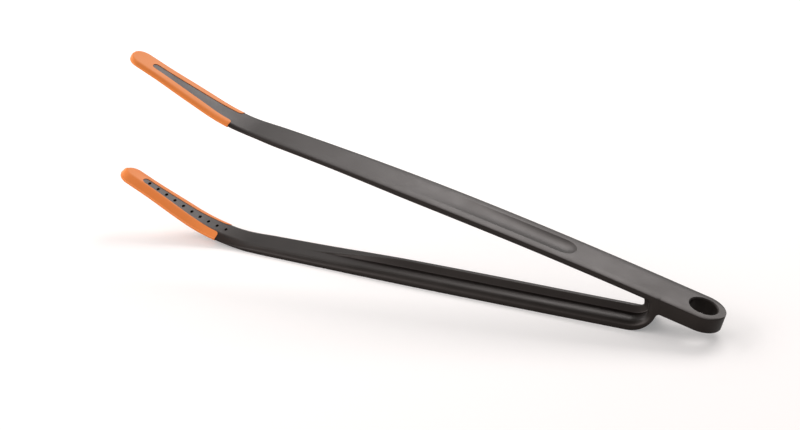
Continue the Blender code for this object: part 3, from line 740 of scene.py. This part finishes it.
def dimple_cutters(arm):
    """Small cross-wise cutters in a row along the inner face of a tip."""
    mesh = bmesh.new()
    for index in range(DIMPLE_COUNT):
        place = arm.end - DIMPLE_FIRST - index * DIMPLE_PITCH
        face = arm.inner_depth(place, 0.0)
        steps = [
            (DIMPLE_RADIUS * width, face - DIMPLE_DEPTH * sunk)
            for width, sunk in DIMPLE_PROFILE
        ]
        steps.append((DIMPLE_RADIUS * DIMPLE_FLARE, face + DIMPLE_OVERRUN))
        dimple = loft([
            circle(arm, place, radius, depth, DIMPLE_SIDES, DIMPLE_STRETCH)
            for radius, depth in steps
        ])
        data = bpy.data.meshes.new("dimple")
        dimple.to_mesh(data)
        dimple.free()
        mesh.from_mesh(data)
        bpy.data.meshes.remove(data)
    return mesh


def hole_cutter():
    """The hang hole with its chamfered rims, concentric with the round end of the tail."""
    wide = HOLE_RADIUS + HOLE_CHAMFER + OVERRUN
    steps = (
        (wide, -OVERRUN),
        (HOLE_RADIUS, HOLE_CHAMFER),
        (HOLE_RADIUS, TAIL_THICKNESS - HOLE_CHAMFER),
        (wide, TAIL_THICKNESS + OVERRUN),
    )
    return loft([circle(UPPER, TAIL_ROUND, radius, depth, HOLE_SIDES) for radius, depth in steps])


def core_half_section(arm, place):
    """Half section of the bare nylon strip in the middle of a tip."""
    core = max(core_half_width(arm, place), SEAM)
    across = [core * share for share in CORE_SHARES]
    points = [(y, arm.outer_depth(place, y)) for y in across]
    return points + [(y, arm.inner_depth(place, y)) for y in reversed(across)]


def arm_rings(arm, places):
    """Rings of the plain arm at the given places."""
    return [mirrored_ring(arm, place, arm.half_section(place)) for place in places]


def core_places(arm):
    """Places of the rings of the bare strip, from inside its arm to its round end."""
    root_end = arm.tip_root + CORE_ROOT_ROUND
    bare_end = arm.tip_root + CORE_LENGTH
    taper_end = bare_end - CORE_END_HALF_WIDTH
    places = [arm.tip_root - OVERRUN] + spread(arm.tip_root, root_end, CORE_ROOT_STEPS)
    places += stations(root_end, taper_end) + [taper_end]
    places += [bare_end - CORE_END_HALF_WIDTH * (1.0 - math.sin(turn)) for turn in ROUND_TURNS]
    return places


def core_strip(arm):
    """The nylon strip that runs on from an arm into the middle of its silicone edging."""
    places = core_places(arm)
    places[-1] -= SEAM
    return loft([mirrored_ring(arm, place, core_half_section(arm, place)) for place in places])


def slot_cutter(arm):
    """The slot that the nylon strip takes in the silicone, right through it."""
    rings = []
    for place in core_places(arm):
        half = max(core_half_width(arm, place), SEAM) + SEAM
        depths = (-OVERRUN, arm.plate(place) + OVERRUN)
        section = [(0.0, depths[0]), (half, depths[0]), (half, depths[1]), (0.0, depths[1])]
        rings.append(mirrored_ring(arm, place, section))
    return loft(rings)


def silicone_half_section(arm, place):
    """Half section of the outside of the silicone, slightly proud of the nylon."""
    half = arm.half_width(place) + SILICONE_PROUD
    rounding = min(SILICONE_ROUND, half * (1.0 - NARROW_SHARE))
    outer = [(half - rounding) * share for share in OUTER_SHARES]
    points = [(y, arm.outer_depth(place, y) - SILICONE_PROUD) for y in outer]
    for turn in ROUND_TURNS:
        inset, drop = corner_round(turn, rounding)
        face = arm.outer_depth(place, half - inset) - SILICONE_PROUD
        points.append((half - inset, face + drop))
    top = max(half - arm.shoulder(place), half * NARROW_SHARE / 2.0)
    inner = [half] + [mix(half, top, share) for share in SLOPE_SHARES]
    inner += [top * (1.0 - share) for share in FLAT_SHARES] + [0.0]
    return points + [(y, arm.inner_depth(place, y) + SILICONE_PROUD) for y in inner]


def silicone_grip(name, arm, material):
    """The orange horseshoe moulded round a tip."""
    corner = arm.end - TIP_CORNER
    places = [arm.tip_root + SEAM] + stations(arm.tip_root + STATION_PITCH, corner)
    places += [corner + TIP_CORNER * math.sin(turn) for turn in CORNER_TURNS] + [arm.end]
    rings = [mirrored_ring(arm, place, silicone_half_section(arm, place)) for place in places]
    piece = add_object(name, loft(rings))
    combine(piece, add_object(name + "_slot", slot_cutter(arm)), "DIFFERENCE")
    dress(piece, material)
    return piece


def lower_arm_mesh():
    """The lower arm with the heel, from inside the tail to the root of its tip."""
    places = spread(0.0, HEEL_ARC, HEEL_STEPS) + stations(HEEL_ARC, LOWER.tip_root)
    return loft(arm_rings(LOWER, places + [LOWER.tip_root]))


def tail_places():
    """Places of the rings of the tail, from its end to the back of the stub."""
    places = [TAIL_ROUND * (1.0 - math.sin(turn)) for turn in TAIL_TURNS]
    places += stations(TAIL_ROUND, NOTCH_END - NOTCH_FILLET)
    places += spread(NOTCH_END - NOTCH_FILLET, NOTCH_END, NOTCH_STEPS)
    return places + [NOTCH_END, STUB_BACK - SEAM, STUB_BACK]


def upper_arm_places():
    """Places of the rings of the upper arm, from ahead of the stub to the root of its tip."""
    round_end = SCOOP_START + SCOOP_HALF_WIDTH
    places = stations(STUB_AHEAD + STATION_PITCH, SCOOP_START) + [SCOOP_START]
    places += [round_end - SCOOP_HALF_WIDTH * math.sin(turn) for turn in SCOOP_TURNS]
    return places + stations(round_end, UPPER.tip_root) + [UPPER.tip_root]


def upper_arm_mesh():
    """The upper arm with the tail and the stub."""
    rings = arm_rings(UPPER, tail_places()) + stub_rings()
    return loft(rings + arm_rings(UPPER, upper_arm_places()))


def nylon_moulding(material):
    """The one nylon moulding: both arms, the bend, the tail and the strips in the tips."""
    piece = add_object("nylon_moulding", upper_arm_mesh())
    combine(piece, add_object("lower_half", lower_arm_mesh()), "UNION")
    for arm in (UPPER, LOWER):
        combine(piece, add_object("core_strip", core_strip(arm)), "UNION")
    combine(piece, add_object("hang_hole", hole_cutter()), "DIFFERENCE")
    for arm in (UPPER, LOWER):
        combine(piece, add_object("dimples", dimple_cutters(arm)), "DIFFERENCE")
    dress(piece, material)
    return piece


class Nodes:
    """A small helper that adds shader nodes and joins them."""

    def __init__(self, owner):
        owner.use_nodes = True
        self.tree = owner.node_tree

    def add(self, kind, **values):
        """Add a node and set its inputs by name."""
        node = self.tree.nodes.new(kind)
        for name, value in values.items():
            node.inputs[name.replace("_", " ")].default_value = value
        return node

    def join(self, source, output, target, entry):
        """Link an output to an input."""
        self.tree.links.new(source.outputs[output], target.inputs[entry])

    def noise(self, place, scale, detail, roughness):
        """A noise texture at a scale in features per metre."""
        node = self.add("ShaderNodeTexNoise", Scale=scale, Detail=detail, Roughness=roughness)
        self.join(place, "Object", node, "Vector")
        return node

    def spread_to(self, source, span, target=(0.0, 1.0)):
        """Map a span of a noise's factor to a target range."""
        node = self.add("ShaderNodeMapRange", To_Min=target[0], To_Max=target[1])
        node.inputs["From Min"].default_value = span[0]
        node.inputs["From Max"].default_value = span[1]
        self.join(source, "Fac", node, "Value")
        return node

    def tint(self, factor, first, second):
        """Mix two colours by a factor."""
        node = self.tree.nodes.new("ShaderNodeMix")
        node.data_type = "RGBA"
        node.inputs["A"].default_value = first
        node.inputs["B"].default_value = second
        self.tree.links.new(factor, node.inputs["Factor"])
        return node


def moulded_material(name, colours, roughness, grain, specular):
    """A moulded material with a fine grain, a faint mottle and uneven gloss."""
    material = bpy.data.materials.new(name)
    nodes = Nodes(material)
    shader = nodes.tree.nodes["Principled BSDF"]
    shader.inputs["Metallic"].default_value = 0.0
    shader.inputs["Specular IOR Level"].default_value = specular[0]
    shader.inputs["Specular Tint"].default_value = specular[1]
    place = nodes.add("ShaderNodeTexCoord")
    mottle = nodes.noise(place, MOTTLE_SCALE, MOTTLE_DETAIL, NOISE_ROUGHNESS)
    fine = nodes.noise(place, GRAIN_SCALE, GRAIN_DETAIL, NOISE_ROUGHNESS)
    tint = nodes.tint(nodes.spread_to(mottle, MOTTLE_RANGE).outputs["Result"], *colours)
    nodes.tree.links.new(tint.outputs["Result"], shader.inputs["Base Color"])
    gloss = nodes.spread_to(mottle, MOTTLE_RANGE, roughness)
    nodes.join(gloss, "Result", shader, "Roughness")
    strength, depth = grain
    bump = nodes.add("ShaderNodeBump", Strength=strength, Distance=depth)
    nodes.join(fine, "Fac", bump, "Height")
    nodes.join(bump, "Normal", shader, "Normal")
    return material


def nylon_material(name):
    """Satin black moulded nylon."""
    return moulded_material(name, NYLON_COLOURS, NYLON_ROUGHNESS, NYLON_GRAIN, NYLON_SPECULAR)


def silicone_material(name):
    """Satin orange silicone."""
    return moulded_material(
        name, SILICONE_COLOURS, SILICONE_ROUGHNESS, SILICONE_GRAIN, SILICONE_SPECULAR
    )


def make_floor():
    """A plain white floor that keeps the shadow of the tongs and throws back less light."""
    mesh = bmesh.new()
    bmesh.ops.create_grid(mesh, x_segments=1, y_segments=1, size=FLOOR_SIZE)
    floor = add_object("floor", mesh)
    material = bpy.data.materials.new("white_floor")
    nodes = Nodes(material)
    nodes.tree.nodes.remove(nodes.tree.nodes["Principled BSDF"])
    output = nodes.tree.nodes["Material Output"]
    seen = nodes.add("ShaderNodeBsdfDiffuse", Color=FLOOR_SEEN)
    glow = nodes.add("ShaderNodeEmission", Color=WHITE, Strength=FLOOR_LIFT)
    lifted = nodes.tree.nodes.new("ShaderNodeAddShader")
    bounce = nodes.add("ShaderNodeBsdfDiffuse", Color=FLOOR_BOUNCE)
    path = nodes.add("ShaderNodeLightPath")
    choose = nodes.tree.nodes.new("ShaderNodeMixShader")
    nodes.join(seen, 0, lifted, 0)
    nodes.join(glow, 0, lifted, 1)
    nodes.join(path, "Is Camera Ray", choose, 0)
    nodes.join(bounce, 0, choose, 1)
    nodes.join(lifted, 0, choose, 2)
    nodes.join(choose, 0, output, "Surface")
    floor.data.materials.append(material)


def make_world():
    """White surroundings: a soft light on the object and plain white behind it."""
    world = bpy.data.worlds.new("studio")
    bpy.context.scene.world = world
    nodes = Nodes(world)
    output = nodes.tree.nodes["World Output"]
    light = nodes.tree.nodes["Background"]
    light.inputs["Color"].default_value = WHITE
    light.inputs["Strength"].default_value = WORLD_LIGHT
    backdrop = nodes.add("ShaderNodeBackground", Color=WHITE, Strength=WORLD_SEEN)
    path = nodes.add("ShaderNodeLightPath")
    choose = nodes.tree.nodes.new("ShaderNodeMixShader")
    nodes.join(path, "Is Camera Ray", choose, 0)
    nodes.join(light, 0, choose, 1)
    nodes.join(backdrop, 0, choose, 2)
    nodes.join(choose, 0, output, "Surface")


def add_softbox(name, place, size, power):
    """A large soft light that looks at the tongs."""
    data = bpy.data.lights.new(name, "AREA")
    data.shape = "RECTANGLE"
    data.size, data.size_y = size
    data.energy = power
    lamp = bpy.data.objects.new(name, data)
    lamp.location = place
    towards = Vector(LIGHT_AIM) - Vector(place)
    lamp.rotation_euler = towards.to_track_quat("-Z", "Y").to_euler()
    bpy.context.collection.objects.link(lamp)


def make_lights():
    """Soft lights beyond the tips, behind the tongs and low in front of the tips."""
    add_softbox("left_softbox", *LEFT_LIGHT)
    add_softbox("back_softbox", *BACK_LIGHT)
    add_softbox("front_softbox", *FRONT_LIGHT)


def make_camera():
    """The camera at the photograph's viewing angle."""
    back = Vector((
        math.sin(CAMERA_AZIMUTH) * math.cos(CAMERA_ELEVATION),
        -math.cos(CAMERA_AZIMUTH) * math.cos(CAMERA_ELEVATION),
        math.sin(CAMERA_ELEVATION),
    ))
    data = bpy.data.cameras.new("photo_camera")
    data.sensor_width = SENSOR_WIDTH
    data.lens = CAMERA_LENS
    data.clip_start = CLIP_NEAR
    data.clip_end = CLIP_FAR
    camera = bpy.data.objects.new("photo_camera", data)
    camera.location = Vector(CAMERA_TARGET) + CAMERA_DISTANCE * back
    camera.rotation_euler = (-back).to_track_quat("-Z", "Y").to_euler()
    bpy.context.collection.objects.link(camera)
    bpy.context.scene.camera = camera


def dress_tongs():
    """Make the pieces, let the silicone edgings ride on their bodies and stand for the solids."""
    moulding = nylon_moulding(nylon_material("nylon"))
    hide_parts("upper_arm", "spring_bend", "lower_arm")
    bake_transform(moulding)
    silicone = silicone_material("silicone")
    for name, arm, body in (("upper", UPPER, "upper"), ("lower", LOWER, "lower")):
        grip = silicone_grip(name + "_silicone", arm, silicone)
        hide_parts(name + "_tip_grip")
        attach(grip, body)


make_camera()
dress_tongs()
make_floor()
make_world()
make_lights()
bpy.context.scene.view_settings.view_transform = "Standard"
